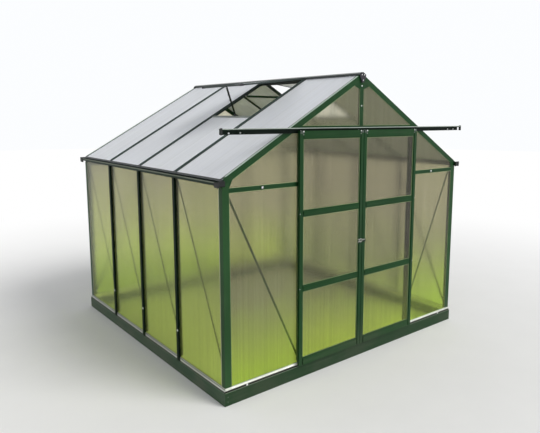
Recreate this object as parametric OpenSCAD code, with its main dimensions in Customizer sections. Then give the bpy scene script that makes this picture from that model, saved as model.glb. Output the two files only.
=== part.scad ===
// Sliding-door greenhouse: a square aluminium frame with polycarbonate panes on a steel base.
// Millimetres. X runs across the gable, Y to the back, Z up; the origin is the middle of the ground plan.

/* [Frame] */
// Width over the corner posts
frame_w = 2550; // [2350:10:2800]
// Length over the corner posts
frame_l = 2550; // [2350:10:2800]
// Distance between wall posts, centre to centre
bay = 620; // [585:5:630]
// Height of the roof planes' outer faces over the side walls
eave_h = 1549; // [1500:1:1620]
// Slope of the roof, in degrees
pitch = 30; // [29:0.5:31]

/* [Base] */
// Height of the steel base
plinth_h = 93; // [70:1:130]
// Width of the base's top flange
plinth_flange = 60; // [55:1:80]
// Width of the base's bottom flange
plinth_foot = 40; // [25:1:55]
// How far the base stands out from the frame
plinth_out = 10; // [6:1:14]
// Sheet thickness of the base
plinth_t = 2.5; // [1.5:0.5:3]

/* [Sections] */
// Wall thickness of the aluminium sections
skin = 2.3; // [1.6:0.1:2.5]
// Thickness of a pane
pane_t = 6; // [4:0.5:8]
// Outer face of a wall or roof bar
bar_face = 30; // [26:1:36]
// How far the hollow cover on a wall bar stands out
cover_out = 12; // [8:1:14]
// Outer face of a roof bar
roof_face = 38; // [26:1:40]
// Outer face of a gable post
gable_face = 40; // [36:1:46]
// Outer face of a gable rail
rail_face = 30; // [28:1:36]
// Depth of a wall or gable bar, from its outer face to its foot
bar_depth = 32; // [28:1:36]
// Depth of a roof bar
roof_depth = 22; // [18:1:26]
// Width and height of the rib along the outer face of a roof bar
roof_rib = 7; // [4:0.5:7]
// Width of a bar's foot
bar_foot = 12; // [8:1:16]
// Front face of a gable rafter, square to the slope
rafter_face = 42; // [38:1:48]
// Depth of a gable rafter over the roof panes
rafter_depth = 26; // [20:1:30]
// Front face of a corner post
corner_face = 52; // [46:1:56]
// Side face of a corner post
corner_side = 40; // [38:1:46]
// How far a pane reaches into a groove at its edge
grip = 12; // [9:1:13]
// Width of each of the ridge's flanges, down the slope
ridge_flange = 34; // [30:1:40]
// Height of the ridge's web
ridge_web = 44; // [38:1:50]
// Height of the sill section
sill_h = 32; // [28:1:36]

/* [Eaves] */
// Distance from the roof line down to the eave rails' centre
rail_drop = 73; // [70:1:90]
// Distance from the roof line down to the underside of the eave section
gutter_drop = 43; // [40:1:50]
// Height of the gutter's floor over the underside of the eave section
gutter_lift = 10; // [8:1:13]
// Width of the gutter trough
gutter_w = 34; // [30:1:45]
// Height of the gutter's outer wall
gutter_wall = 22; // [18:1:28]
// How far the gutters stand out past each gable
gutter_over = 20; // [14:1:40]

/* [Doors] */
// Width of one door
door_w = 649; // [630:1:660]
// Gap under the doors, from the base's top
door_lift = 15; // [10:1:30]
// Distance from the roof line over the door jambs down to the doors' top
door_drop = 72; // [71:1:90]
// Depth of a door
door_t = 22; // [20:1:28]
// Gap behind the doors, from the frame's face
door_gap = 13; // [13:1:18]
// Gap between the closed doors
door_meet = 5; // [5:0.5:8]
// Width of a door stile
stile_w = 38; // [34:1:42]
// Height of a door's top rail
top_rail = 60; // [50:1:64]
// Height of a door's bottom rail
bottom_rail = 60; // [50:1:64]
// Height of a door's middle rails
mid_rail = 50; // [44:1:56]
// Distance from the middle to the centre of a door jamb
jamb_x = 620; // [600:1:625]
// Face of the door header
header_face = 42; // [38:1:44]
// Height of the door track's ledge below the doors' top
track_drop = 19; // [17:1:20]
// Height of the door track
track_h = 39; // [37:1:42]
// How far the header stands above the track
header_over = 12; // [8:1:16]
// How far the track's hood stands out past the doors
hood_over = 4; // [3:1:8]
// Height of the lip on the track's hood
hood_lip = 11; // [8:1:12]
// Length of the door track
track_l = 2580; // [2560:1:2640]
// Distance from the middle to a door stop
stop_x = 1145; // [1140:1:1160]
// Radius of a door roller
roller_r = 9; // [8:0.5:9]
// Distance from a door's edge to its roller
roller_in = 30; // [26:1:40]
// Thickness of a door roller
roller_t = 4; // [3:0.5:4]
// Height of the latch's centre
latch_z = 975; // [900:1:1100]
// Width of one door's half of the latch
latch_w = 34; // [28:1:34]
// Height of the latch
latch_h = 26; // [20:1:40]

/* [Vents] */
// Opening angle of the roof vents
vent_open = 23; // [5:1:40]
// Length of a roof vent down the slope
vent_l = 642; // [560:1:700]
// Radius of the vent's hinge bead
bead_r = 3; // [2.5:0.5:4]
// Depth of the vent's frame
vent_t = 14; // [12:1:18]
// Face of the vent's frame
vent_face = 26; // [24:1:32]

/* [Braces] */
// Width of a brace
brace_w = 16; // [12:1:22]
// Thickness of a brace
brace_t = 2; // [1.5:0.5:3]
// Height of a brace's lower end over the base
brace_foot = 77; // [60:1:120]
// Distance of a brace's upper end below the eave section
brace_head = 28; // [20:1:60]
// Height of the roof tie
tie_h = 20; // [16:1:30]
// Distance from the ridge down to the roof tie
tie_drop = 137; // [120:1:160]

/* [Hidden] */
$fn = 48;
eps = 0.01;
// Gap left where one piece seats on another
seat = 0.3;
// Everything a cutting box must reach past
far = 4000;
groove = pane_t + 2 * seat;
pane_out = -(skin + seat);
shelf = skin + groove;
// Running gap between the doors and what is fixed
door_clear = 5;
web = skin;
plinth_w = frame_w + 2 * plinth_out;
plinth_l = frame_l + 2 * plinth_out;
sill_z = plinth_h + seat;
sill_top = sill_z + sill_h;
post_z = sill_top + seat;
foot_z = sill_z + skin + seat;
sill_floor = 8;
wall_posts = [for (i = [-1, 0, 1]) i * bay];
gutter_l = frame_l + 2 * gutter_over;
eave_x = frame_w / 2 - shelf - skin;
rafter_end = eave_x - seat;
ridge_h = eave_h + frame_w / 2 * tan(pitch);
rail_z = eave_h - rail_drop;
gutter_z = eave_h - gutter_drop;
gutter_floor = gutter_z + gutter_lift;
door_z = plinth_h + door_lift;
door_top = ridge_h - jamb_x * tan(pitch) - door_drop;
track_z = door_top - track_drop;
header_z = track_z + track_h + header_over - header_face / 2;
door_pane = (door_top - door_z - top_rail - bottom_rail - 2 * mid_rail) / 3;
mid_rail_1 = door_z + bottom_rail + door_pane + mid_rail / 2;
mid_rail_2 = mid_rail_1 + door_pane + mid_rail;
vent_hinge = ridge_flange + seat + bead_r;

// Height of the roof planes' outer faces at a distance from the middle
function roof_z(x) = ridge_h - abs(x) * tan(pitch);
// The same, for a plane that lies deeper by n, square to the slope
function under_roof(x, n) = roof_z(x) - n / cos(pitch);
// Distance down the slope of a point at x
function down(x) = x / cos(pitch);

// What is drawn for the right side, on either side
module side(s) {
    if (s < 0) mirror([1, 0, 0]) children();
    else children();
}
// What is drawn for the front, at either end
module end(s) {
    if (s > 0) mirror([0, 1, 0]) children();
    else children();
}
// A section (out, z) run along the right wall; out is measured from the frame's face
module run_side(length) {
    translate([frame_w / 2, 0, 0]) rotate([90, 0, 0])
        linear_extrude(length, center = true) children();
}
// The same section run along the front gable
module run_front(length) {
    translate([0, -frame_l / 2, 0]) rotate([0, 0, -90]) rotate([90, 0, 0])
        linear_extrude(length, center = true) children();
}
// The right roof slope: X runs down it, Z out of it
module slope(s) {
    side(s) translate([0, 0, ridge_h]) rotate([0, pitch, 0]) children();
}
// A bar section laid down the slope, from one distance to another
module run_slope(y, from, to) {
    translate([from, y, 0]) rotate([90, 0, 90]) linear_extrude(to - from) children();
}
// A section that stands on the right wall or on the front gable, outward being its +Y
module stand_side(y, from, to) {
    translate([frame_w / 2, y, from]) rotate([0, 0, -90]) linear_extrude(to - from) children();
}
module stand_front(x, from, to) {
    translate([x, -frame_l / 2, from]) rotate([0, 0, 180]) linear_extrude(to - from) children();
}
// A flat outline (x, z) as a sheet inside the front gable
module sheet_front(out, thick) {
    translate([0, -frame_l / 2 - out, 0]) rotate([90, 0, 0]) linear_extrude(thick) children();
}
// A rectangle in a section, from one corner to the other
module rect(x0, y0, x1, y1) {
    translate([x0, y0]) square([x1 - x0, y1 - y0]);
}
// Glazing bar: an outer flange, two pane grooves, a stem and a bolt foot
module bar_section(face, deep = bar_depth) {
    rect(-face / 2, -skin, face / 2, 0);
    rect(-web / 2, -deep, web / 2, 0);
    rect(-face / 2 + 3, -shelf - skin, face / 2 - 3, -shelf);
    rect(-bar_foot / 2, -deep, bar_foot / 2, -deep + skin);
}
// Everything above a plane that lies n below the roof's outer face, on both slopes
module above_roof(n) {
    for (s = [-1, 1]) slope(s) translate([-far / 2, -far, -n]) cube([far, 2 * far, far]);
}
// Plan of one side of a mitred square of edge w by l
module mitred(w, l, deep) {
    polygon([[w / 2 + 1, -l / 2 - 1 + seat], [w / 2 + 1, l / 2 + 1 - seat],
        [w / 2 - deep, l / 2 - deep - seat], [w / 2 - deep, -l / 2 + deep + seat]]);
}

// Base: a folded steel channel, mitred at the corners
module plinth_section() {
    rect(plinth_out - plinth_t, 0, plinth_out, plinth_h);
    rect(plinth_out - plinth_flange, plinth_h - plinth_t, plinth_out, plinth_h);
    rect(plinth_out - plinth_foot, 0, plinth_out, plinth_t);
    rect(plinth_out - plinth_flange, plinth_h - 14, plinth_out - plinth_flange + plinth_t, plinth_h);
}
module plinth_side(s) {
    side(s) intersection() {
        run_side(plinth_l + 2) plinth_section();
        linear_extrude(plinth_h) mitred(plinth_w, plinth_l, plinth_flange + 5);
    }
}
module plinth_end(s) {
    end(s) intersection() {
        run_front(plinth_w + 2) plinth_section();
        linear_extrude(plinth_h) rotate(-90) mitred(plinth_l, plinth_w, plinth_flange + 5);
    }
}
module plinth_ends() {
    color("darkolivegreen") for (s = [-1, 1]) plinth_end(s);
}
module plinth_sides() {
    color("darkolivegreen") for (s = [-1, 1]) plinth_side(s);
}

// Sill: stands on the base and holds the foot of the panes; its front wall gives way to the posts
sill_deep = 45;
sill_lip = 3;
// A raised band runs along the front wall between these heights, and a raised edge along its top
sill_band = [6, 20];
sill_edge = 5;
module sill_section() {
    rect(-sill_deep, 0, sill_lip, skin);
    rect(-skin, 0, 0, sill_h);
    rect(-eps, sill_band[0], sill_lip, sill_band[1]);
    rect(-eps, sill_h - sill_edge, sill_lip - 1, sill_h);
    rect(-shelf - skin, 0, -shelf, sill_h);
    rect(-shelf - eps, sill_floor, -skin + eps, sill_floor + skin);
}
// Room in a sill's front wall for a post's face, along a wall of the given length
module sill_notch(at, face) {
    translate([at - face / 2 - seat, -skin - seat, skin]) cube([face + 2 * seat, far, far]);
}
module sill_notches(length, posts, face, corner) {
    for (x = posts) sill_notch(x, face);
    for (s = [-1, 1]) sill_notch(s * (length / 2), 2 * corner);
}
module sill_side(s) {
    grown = 2 * (sill_lip + 1);
    side(s) difference() {
        intersection() {
            translate([0, 0, sill_z]) run_side(frame_l + grown) sill_section();
            linear_extrude(far) mitred(frame_w + grown, frame_l + grown, sill_deep + grown);
        }
        translate([frame_w / 2, 0, sill_z]) rotate([0, 0, -90]) sill_notches(frame_l, wall_posts, bar_face, corner_side);
    }
}
module sill_end(s, posts) {
    grown = 2 * (sill_lip + 1);
    end(s) difference() {
        intersection() {
            translate([0, 0, sill_z]) run_front(frame_w + grown) sill_section();
            linear_extrude(far) rotate(-90) mitred(frame_l + grown, frame_w + grown, sill_deep + grown);
        }
        translate([0, -frame_l / 2, sill_z]) rotate([0, 0, 180])
            sill_notches(frame_w, posts, gable_face, corner_face);
    }
}
module front_sill() {
    color("gainsboro") sill_end(-1, [-jamb_x, jamb_x]);
}
module back_sill() {
    color("gainsboro") sill_end(1, [-jamb_x, 0, jamb_x]);
}
module side_sills() {
    color("gainsboro") for (s = [-1, 1]) sill_side(s);
}

// How far a corner post's stems stand from its edges
stem_in = 10;
// Room between a corner post's web and the edge of its pane's groove
web_in = 6;
// Corner post: two flanges, two pane grooves, and a stem with a bolt foot behind each
module corner_section() {
    in_x = corner_face - grip - web_in;
    in_y = corner_side - grip - web_in;
    stem_x = corner_face - stem_in;
    stem_y = corner_side - stem_in;
    corner_faces();
    rect(-corner_face, -shelf - skin, -shelf, -shelf);
    rect(-shelf - skin, -corner_side, -shelf, -shelf);
    rect(-in_x, -shelf, -in_x + web, 0);
    rect(-shelf, -in_y, 0, -in_y + web);
    rect(-stem_x - web / 2, -bar_depth, -stem_x + web / 2, -shelf);
    rect(-stem_x - bar_foot / 2, -bar_depth, -stem_x + bar_foot / 2, -bar_depth + skin);
    rect(-bar_depth, -stem_y - web / 2, -shelf, -stem_y + web / 2);
    rect(-bar_depth, -stem_y - bar_foot / 2, -bar_depth + skin, -stem_y + bar_foot / 2);
}
module corner_faces() {
    rect(-corner_face, -skin, 0, 0);
    rect(-skin, -corner_side, 0, 0);
}
module corner_post(sx, sy) {
    side(sx) end(sy) difference() {
        translate([frame_w / 2, -frame_l / 2, 0]) mirror([0, 1]) {
            translate([0, 0, post_z]) linear_extrude(ridge_h - post_z) corner_section();
            translate([0, 0, foot_z]) linear_extrude(ridge_h - foot_z) corner_faces();
        }
        translate([rafter_end, -far / 2, gutter_z - seat]) cube(far);
        translate([0, -frame_l / 2 + shelf + skin + seat, gutter_z - seat]) cube(far);
        above_roof(rafter_face + seat);
    }
}
module corner_posts() {
    color("darkgreen") for (sx = [-1, 1]) for (sy = [-1, 1]) corner_post(sx, sy);
}

// Side walls: three glazing bars each, with a hollow cover from the base up to the gutter's floor
module cover_section(near) {
    for (s = [0, 1]) mirror([s, 0]) rect(bar_face / 2 - skin, near, bar_face / 2, cover_out);
    rect(-bar_face / 2, cover_out - skin, bar_face / 2, cover_out);
}
module wall_post_row(s) {
    side(s) for (y = wall_posts) {
        stand_side(y, post_z, gutter_z - seat) bar_section(bar_face);
        stand_side(y, foot_z, post_z + eps) rect(-bar_face / 2, -skin, bar_face / 2, 0);
        stand_side(y, foot_z, gutter_z - seat) cover_section(-eps);
        stand_side(y, gutter_z - seat - eps, gutter_floor - seat) cover_section(seat);
    }
}
module left_wall_posts() {
    color("darkgreen") wall_post_row(-1);
}
module right_wall_posts() {
    color("darkgreen") wall_post_row(1);
}

// Eave: a pane groove below, a seat for the roof panes, and the gutter's trough, in one section
module gutter_section() {
    rect(-skin, gutter_z, 0, gutter_floor + skin);
    rect(-shelf - skin, gutter_floor, gutter_w + skin, gutter_floor + skin);
    rect(-shelf - skin, gutter_z, -shelf, under_roof(frame_w / 2 - shelf, shelf) - seat);
    rect(gutter_w, gutter_floor, gutter_w + skin, gutter_floor + gutter_wall);
    rect(gutter_w, gutter_floor + gutter_wall - skin, gutter_w + 2 * skin, gutter_floor + gutter_wall);
}
module eave_stiffener() {
    rect(-bar_depth - 2, gutter_floor, -shelf, gutter_floor + skin);
    rect(-bar_depth - 2, gutter_floor - 10, -bar_depth - 2 + skin, gutter_floor);
}
module gutter(s) {
    side(s) {
        run_side(gutter_l) gutter_section();
        run_side(frame_l - 2 * rafter_depth - 2 * seat) eave_stiffener();
    }
}
module left_gutter() {
    color("darkgreen") gutter(-1);
}
module right_gutter() {
    color("darkgreen") gutter(1);
}
// Moulded ends close the gutters, each with an outlet spout on a sleeve under the trough
module gutter_end(sx, sy) {
    wall = 3;
    sleeve = 40;
    sleeve_in = gutter_w / 3;
    spout_r = gutter_w / 5;
    spout_h = 16;
    behind = 8;
    beyond = 3;
    rim = 6;
    side(sx) end(sy) translate([frame_w / 2, -gutter_l / 2, gutter_floor]) {
        translate([-behind, -wall - seat, -rim])
            cube([behind + gutter_w + skin + beyond, wall, gutter_wall + 2 * rim]);
        translate([sleeve_in, -wall - seat, -wall - seat])
            cube([gutter_w + skin - sleeve_in, sleeve, wall]);
        translate([gutter_w - spout_r, sleeve - spout_r - rim, -wall - seat - spout_h]) difference() {
            cylinder(r = spout_r, h = spout_h + eps);
            translate([0, 0, -1]) cylinder(r = spout_r - wall / 2, h = spout_h + 2);
        }
    }
}
module gutter_ends() {
    color("#202224") for (sx = [-1, 1]) for (sy = [-1, 1]) gutter_end(sx, sy);
}

// Ridge: two flanges over the roof panes on a web that the roof bars meet
module ridge_flanges() {
    for (s = [0, 1]) mirror([s, 0]) translate([0, ridge_h]) rotate(-pitch) {
        rect(-1, seat, ridge_flange, seat + 2.5);
        rect(ridge_flange - 2.5, seat, ridge_flange, seat + 5);
    }
}
module ridge_bar() {
    color("dimgray") {
        rotate([90, 0, 0]) linear_extrude(frame_l + 8, center = true) ridge_flanges();
        rotate([90, 0, 0]) linear_extrude(frame_l - 2 * rafter_depth - 2 * seat, center = true) {
            rect(-web / 2, ridge_h - ridge_web, web / 2, ridge_h + 1);
            rect(-bar_foot / 2, ridge_h - ridge_web, bar_foot / 2, ridge_h - ridge_web + skin);
        }
    }
}
// Moulded cap over each end of the ridge
module ridge_cap(s) {
    half = 31;
    tall = 78;
    top = ridge_h + 9;
    end(s) translate([0, -frame_l / 2 - 4 - seat, 0]) rotate([90, 0, 0]) linear_extrude(8)
        polygon([[0, top], [half, top - half * tan(pitch)], [half, top - half * tan(pitch) - 18],
            [10, top - tall], [-10, top - tall], [-half, top - half * tan(pitch) - 18],
            [-half, top - half * tan(pitch)]]);
}
module ridge_caps() {
    color("#3a3840") for (s = [-1, 1]) ridge_cap(s);
}

// Gable rafter: a wide front face, a flange over the roof pane, and a groove for the gable's panes
module rafter_section() {
    rect(0, -rafter_face, skin, 0);
    rect(0, -skin, rafter_depth, 0);
    rect(0, -shelf - skin, rafter_depth, -shelf);
    rect(shelf, -rafter_face, shelf + skin, -shelf);
}
module rafter(sx, sy) {
    end(sy) intersection() {
        slope(sx) translate([0, -frame_l / 2, 0]) run_slope(0, -rafter_face, down(frame_w / 2)) rafter_section();
        side(sx) translate([seat, -far / 2, 0]) cube([rafter_end - seat, far, far]);
    }
}
module front_rafters() {
    color("darkgreen") for (sx = [-1, 1]) rafter(sx, -1);
}
module back_rafters() {
    color("darkgreen") for (sx = [-1, 1]) rafter(sx, 1);
}
// Roof bars, from the ridge's web to the eave, with a rib that starts below the ridge's flange
module roof_bar_row(s) {
    side(s) intersection() {
        slope(1) for (y = wall_posts) {
            run_slope(y, -ridge_web, down(frame_w / 2)) bar_section(roof_face, roof_depth);
            run_slope(y, ridge_flange + seat, down(frame_w / 2)) rect(-roof_rib / 2, 0, roof_rib / 2, roof_rib);
        }
        translate([web / 2 + seat, -far / 2, 0]) cube([rafter_end - web / 2 - seat, far, far]);
    }
}
module left_roof_bars() {
    color("darkslategray") roof_bar_row(-1);
}
module right_roof_bars() {
    color("darkslategray") roof_bar_row(1);
}
// A tie between the middle roof bars, close under the ridge
module collar_tie() {
    low = ridge_h - tie_drop - tie_h;
    high = low + tie_h;
    reach = roof_depth + seat;
    function x_at(z) = (ridge_h - reach / cos(pitch) - z) / tan(pitch);
    color("darkgreen") translate([0, 1.5, 0]) rotate([90, 0, 0]) linear_extrude(3)
        polygon([[-x_at(high), high], [x_at(high), high], [x_at(low), low], [-x_at(low), low]]);
}

// Gable posts run from the base to the rafters, with their faces in front of the sill
module gable_post(x) {
    stand_front(x, post_z, ridge_h) bar_section(gable_face);
    stand_front(x, foot_z, post_z + eps) rect(-gable_face / 2, -skin, gable_face / 2, 0);
}
// Front gable: jambs up to the rafters, a header over the doors and a post above it
module under_rafters() {
    difference() {
        children();
        above_roof(rafter_face + seat);
    }
}
module door_jambs() {
    color("darkgreen") under_rafters()
        for (s = [-1, 1]) gable_post(s * jamb_x);
}
// A glazing bar laid level in the gable
module rail(from, to, z, face) {
    translate([from, -frame_l / 2, z]) rotate([0, 90, 0]) rotate([0, 0, 180])
        linear_extrude(to - from) bar_section(face);
}
module door_header() {
    reach = jamb_x - gable_face / 2 - seat;
    color("darkgreen") rail(-reach, reach, header_z, header_face);
}
module front_centre_post() {
    color("darkgreen") under_rafters()
        stand_front(0, header_z + header_face / 2 + seat, ridge_h) bar_section(gable_face);
}
module back_posts() {
    color("darkgreen") end(1) under_rafters()
        for (x = [-jamb_x, 0, jamb_x]) gable_post(x);
}
module gable_rails() {
    from = jamb_x + gable_face / 2 + seat;
    to = frame_w / 2 - corner_face - seat;
    mid = gable_face / 2 + seat;
    color("darkgreen") {
        for (sx = [-1, 1]) for (sy = [-1, 1]) side(sx) end(sy) rail(from, to, rail_z, rail_face);
        for (sx = [-1, 1]) side(sx) end(1) rail(mid, jamb_x - mid, rail_z, rail_face);
    }
}

// Braces: flat strips bolted to the feet of the posts, inside the panes
brace_low = plinth_h + brace_foot;
brace_high = gutter_z - brace_head;
module brace(x0, z0, x1, z1) {
    long = norm([x1 - x0, z1 - z0]);
    translate([x0, z0]) rotate(atan2(z1 - z0, x1 - x0)) {
        rect(0, -brace_w / 2, long, brace_w / 2);
        for (x = [0, long]) translate([x, 0]) circle(brace_w / 2);
    }
}
module wall_braces() {
    last = frame_l / 2 - corner_side + stem_in;
    ys = concat([-last], wall_posts, [last]);
    out = -bar_depth - seat - brace_t;
    color("darkgreen") for (s = [-1, 1]) side(s)
        translate([frame_w / 2 + out, 0, 0]) rotate([90, 0, 90]) linear_extrude(brace_t)
            for (i = [0 : len(ys) - 2]) brace(ys[i], brace_low, ys[i + 1], brace_high);
}
module gable_braces() {
    last = frame_w / 2 - corner_face + stem_in;
    color("darkgreen") for (sx = [-1, 1]) for (sy = [-1, 1]) side(sx) end(sy)
        sheet_front(-bar_depth - seat - brace_t, brace_t) {
            if (sy < 0) brace(jamb_x, brace_low, last, brace_high);
            else brace(last, brace_low, jamb_x, brace_high);
        }
}

// Door track: a plate on the gable, a ledge for the rollers and a hood over the doors' top rails
module track_section() {
    hood = door_gap + door_t + hood_over;
    low = track_z + track_h - hood_lip;
    rect(seat, track_z, seat + skin, track_z + track_h);
    rect(seat, track_z, door_gap - door_clear, track_z + skin);
    rect(seat, track_z + track_h - skin, hood, track_z + track_h);
    polygon([[hood - skin, track_z + track_h], [hood, track_z + track_h], [hood + skin, low], [hood, low]]);
}
module door_track() {
    stop_w = 24;
    out = door_gap - door_clear;
    color("darkgreen") {
        run_front(track_l) track_section();
        for (s = [-1, 1]) side(s)
            translate([stop_x - stop_w / 2, -frame_l / 2 - out, track_z + skin - eps])
                cube([stop_w, out - seat - skin + eps, track_h - 2 * skin + 2 * eps]);
    }
}

// Panes: a sheet for each bay, held in the grooves on every side
module wall_pane_row(s) {
    edge = frame_l / 2 - (corner_side - grip - web_in) - seat;
    gap = web / 2 + seat;
    ys = concat([-edge - gap], wall_posts, [edge + gap]);
    side(s) for (i = [0 : len(ys) - 2])
        translate([frame_w / 2 + pane_out - pane_t, ys[i] + gap, sill_z + sill_floor + skin + seat])
            cube([pane_t, ys[i + 1] - ys[i] - 2 * gap,
                gutter_floor - seat - (sill_z + sill_floor + skin + seat)]);
}
module left_wall_panes() {
    color("beige") wall_pane_row(-1);
}
module right_wall_panes() {
    color("beige") wall_pane_row(1);
}
// Gable panes on one half, as outlines (x, z)
module gable_low(from, to) {
    rect(from, sill_z + sill_floor + skin + seat, to, rail_z - web / 2 - seat);
}
module gable_high(from, to, z) {
    deep = rafter_face - grip;
    polygon([[from, z], [to, z], [to, under_roof(to, deep)], [from, under_roof(from, deep)]]);
}
pane_x0 = web / 2 + seat;
pane_x1 = jamb_x - web / 2 - seat;
pane_x2 = jamb_x + web / 2 + seat;
pane_x3 = frame_w / 2 - (corner_face - grip - web_in) - seat;
module front_panes() {
    color("beige") for (s = [-1, 1]) side(s) sheet_front(pane_out - pane_t, pane_t) {
        gable_low(pane_x2, pane_x3);
        gable_high(pane_x2, pane_x3, rail_z + web / 2 + seat);
        gable_high(pane_x0, pane_x1, header_z + web / 2 + seat);
    }
}
module back_panes() {
    color("beige") for (s = [-1, 1]) side(s) end(1) sheet_front(pane_out - pane_t, pane_t) {
        gable_low(pane_x2, pane_x3);
        gable_low(pane_x0, pane_x1);
        gable_high(pane_x2, pane_x3, rail_z + web / 2 + seat);
        gable_high(pane_x0, pane_x1, rail_z + web / 2 + seat);
    }
}
// Roof panes; the second bay from the front starts below its vent
vent_sill_s = vent_hinge + vent_l - vent_face / 2;
module roof_pane_row(s) {
    edge = frame_l / 2 - shelf - skin;
    gap = web / 2 + seat;
    ys = concat([-edge - gap], wall_posts, [edge + gap]);
    top = 8;
    low = down(frame_w / 2 + 10);
    slope(s) for (i = [0 : len(ys) - 2]) {
        from = i == 1 ? vent_sill_s + web / 2 + seat : top;
        translate([from, ys[i] + gap, pane_out - pane_t]) cube([low - from, ys[i + 1] - ys[i] - 2 * gap, pane_t]);
    }
}
module left_roof_panes() {
    color("lavender") roof_pane_row(-1);
}
module right_roof_panes() {
    color("lavender") roof_pane_row(1);
}

// Roof vents: hinged under the ridge's flange, propped open, in the second bay from the front
vent_y0 = -bay + web + 2;
vent_y1 = -web - 2;
module vent_place(s) {
    slope(s) translate([vent_hinge, 0, bead_r + seat]) rotate([0, -vent_open, 0]) children();
}
// Where a point (u, w) of the open vent's frame lies in the gable's plane (x, z)
function on_slope(q, n) = [q * cos(pitch) + n * sin(pitch), ridge_h - q * sin(pitch) + n * cos(pitch)];
function on_vent(u, w) = on_slope(vent_hinge + u * cos(vent_open) - w * sin(vent_open),
    bead_r + seat + u * sin(vent_open) + w * cos(vent_open));
// Frame section: a pane groove that opens inwards
module vent_rim_section() {
    rect(0, 0, 3, vent_t);
    rect(0, 0, vent_face, 2);
    rect(0, 2 + groove, vent_face, 4 + groove);
    rect(vent_face / 2, 0, vent_face / 2 + 2, 4 + groove);
}
module vent_frame(s) {
    wide = vent_y1 - vent_y0;
    vent_place(s) {
        for (e = [0, 1]) translate([vent_face + seat, e == 0 ? vent_y0 : vent_y1, 0]) mirror([0, e, 0])
            rotate([90, 0, 90]) linear_extrude(vent_l - 2 * vent_face - 2 * seat) vent_rim_section();
        for (e = [0, 1]) translate([e * vent_l, vent_y0, 0]) mirror([e, 0, 0])
            translate([0, wide, 0]) rotate([90, 0, 0]) linear_extrude(wide) {
                vent_rim_section();
                if (e == 0) circle(bead_r);
            }
    }
}
module left_vent_frame() {
    color("darkslategray") vent_frame(-1);
}
module right_vent_frame() {
    color("darkslategray") vent_frame(1);
}
module vent_panes() {
    inset = vent_face / 2 + 2 + seat;
    color("lavender") for (s = [-1, 1]) vent_place(s) translate([inset, vent_y0 + inset, 2 + seat])
        cube([vent_l - 2 * inset, vent_y1 - vent_y0 - 2 * inset, pane_t]);
}
// Sill across the bay below each vent, with the lower pane's top edge in its groove
module vent_sills() {
    reach = bay / 2 - roof_face / 2 - seat;
    color("darkslategray") for (s = [-1, 1]) slope(s) translate([vent_sill_s, -bay / 2, 0])
        rotate([90, 0, 0]) linear_extrude(2 * reach, center = true) bar_section(vent_face, roof_depth);
}
// Stay: a flat bar from the vent's lower rim, past the sill's upper edge, with its tail inside
stay_tail = 75;
// How far the stay is from the middle of its bay
stay_off = 40;
module vent_stays() {
    edge = on_slope(vent_sill_s - vent_face / 2, 0);
    rim = on_vent(vent_l - vent_face + 4, 0);
    lean = atan2(rim[1] - edge[1], rim[0] - edge[0]);
    back = (brace_w / 2 + seat) / sin(lean);
    long = norm(rim - edge);
    color("dimgray") for (s = [-1, 1]) difference() {
        side(s) translate([edge[0] - back, -bay / 2 - stay_off + 1.5, edge[1]]) rotate([90, -lean, 0])
            translate([-stay_tail, -brace_w / 2, 0]) cube([stay_tail + long + brace_w, brace_w, 3]);
        vent_place(s) translate([-far / 2, -far / 2, -seat]) cube(far);
    }
}

// Doors. The right door is drawn, between its meeting edge and its outer edge
door_x0 = door_meet / 2;
door_x1 = door_x0 + door_w;
door_y = -frame_l / 2 - door_gap;
lip = 9;
// Stile section: a hollow box at the outside, a pane groove at the inside; x runs inwards, y to the back
module door_section(width) {
    depth0 = (door_t - groove) / 2;
    difference() {
        rect(0, 0, width - lip, door_t);
        rect(2, 2, width - lip - 2, door_t - 2);
    }
    rect(width - lip - eps, depth0 - 2, width, depth0);
    rect(width - lip - eps, depth0 + groove, width, depth0 + groove + 2);
}
module door_mid_section(width) {
    depth0 = (door_t - groove) / 2;
    difference() {
        rect(lip, 0, width - lip, door_t);
        rect(lip + 2, 2, width - lip - 2, door_t - 2);
    }
    for (e = [0, 1]) translate([e * width, 0]) mirror([e, 0]) {
        rect(0, depth0 - 2, lip + eps, depth0);
        rect(0, depth0 + groove, lip + eps, depth0 + groove + 2);
    }
}
module door_stiles(s) {
    side(s) for (e = [0, 1]) translate([e == 0 ? door_x0 : door_x1, door_y - door_t, door_z])
        mirror([e, 0, 0]) linear_extrude(door_top - door_z) door_section(stile_w);
}
// A rail between the stiles; its section's x runs up
module door_rail(z) {
    translate([door_x1 - stile_w - seat, door_y - door_t, z]) rotate([0, -90, 0])
        linear_extrude(door_w - 2 * stile_w - 2 * seat) children();
}
module door_rails(s) {
    side(s) {
        door_rail(door_z) door_section(bottom_rail);
        door_rail(mid_rail_1 - mid_rail / 2) door_mid_section(mid_rail);
        door_rail(mid_rail_2 - mid_rail / 2) door_mid_section(mid_rail);
        door_rail(door_top) mirror([1, 0]) door_section(top_rail);
    }
}
module door_panes(s) {
    inset = stile_w - lip + seat;
    bottoms = [door_z + bottom_rail - lip + seat, mid_rail_1 + mid_rail / 2 - lip + seat,
        mid_rail_2 + mid_rail / 2 - lip + seat];
    tops = [mid_rail_1 - mid_rail / 2 + lip - seat, mid_rail_2 - mid_rail / 2 + lip - seat,
        door_top - top_rail + lip - seat];
    side(s) for (i = [0 : 2])
        translate([door_x0 + inset, door_y - (door_t + pane_t) / 2, bottoms[i]])
            cube([door_w - 2 * inset, pane_t, tops[i] - bottoms[i]]);
}
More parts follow.
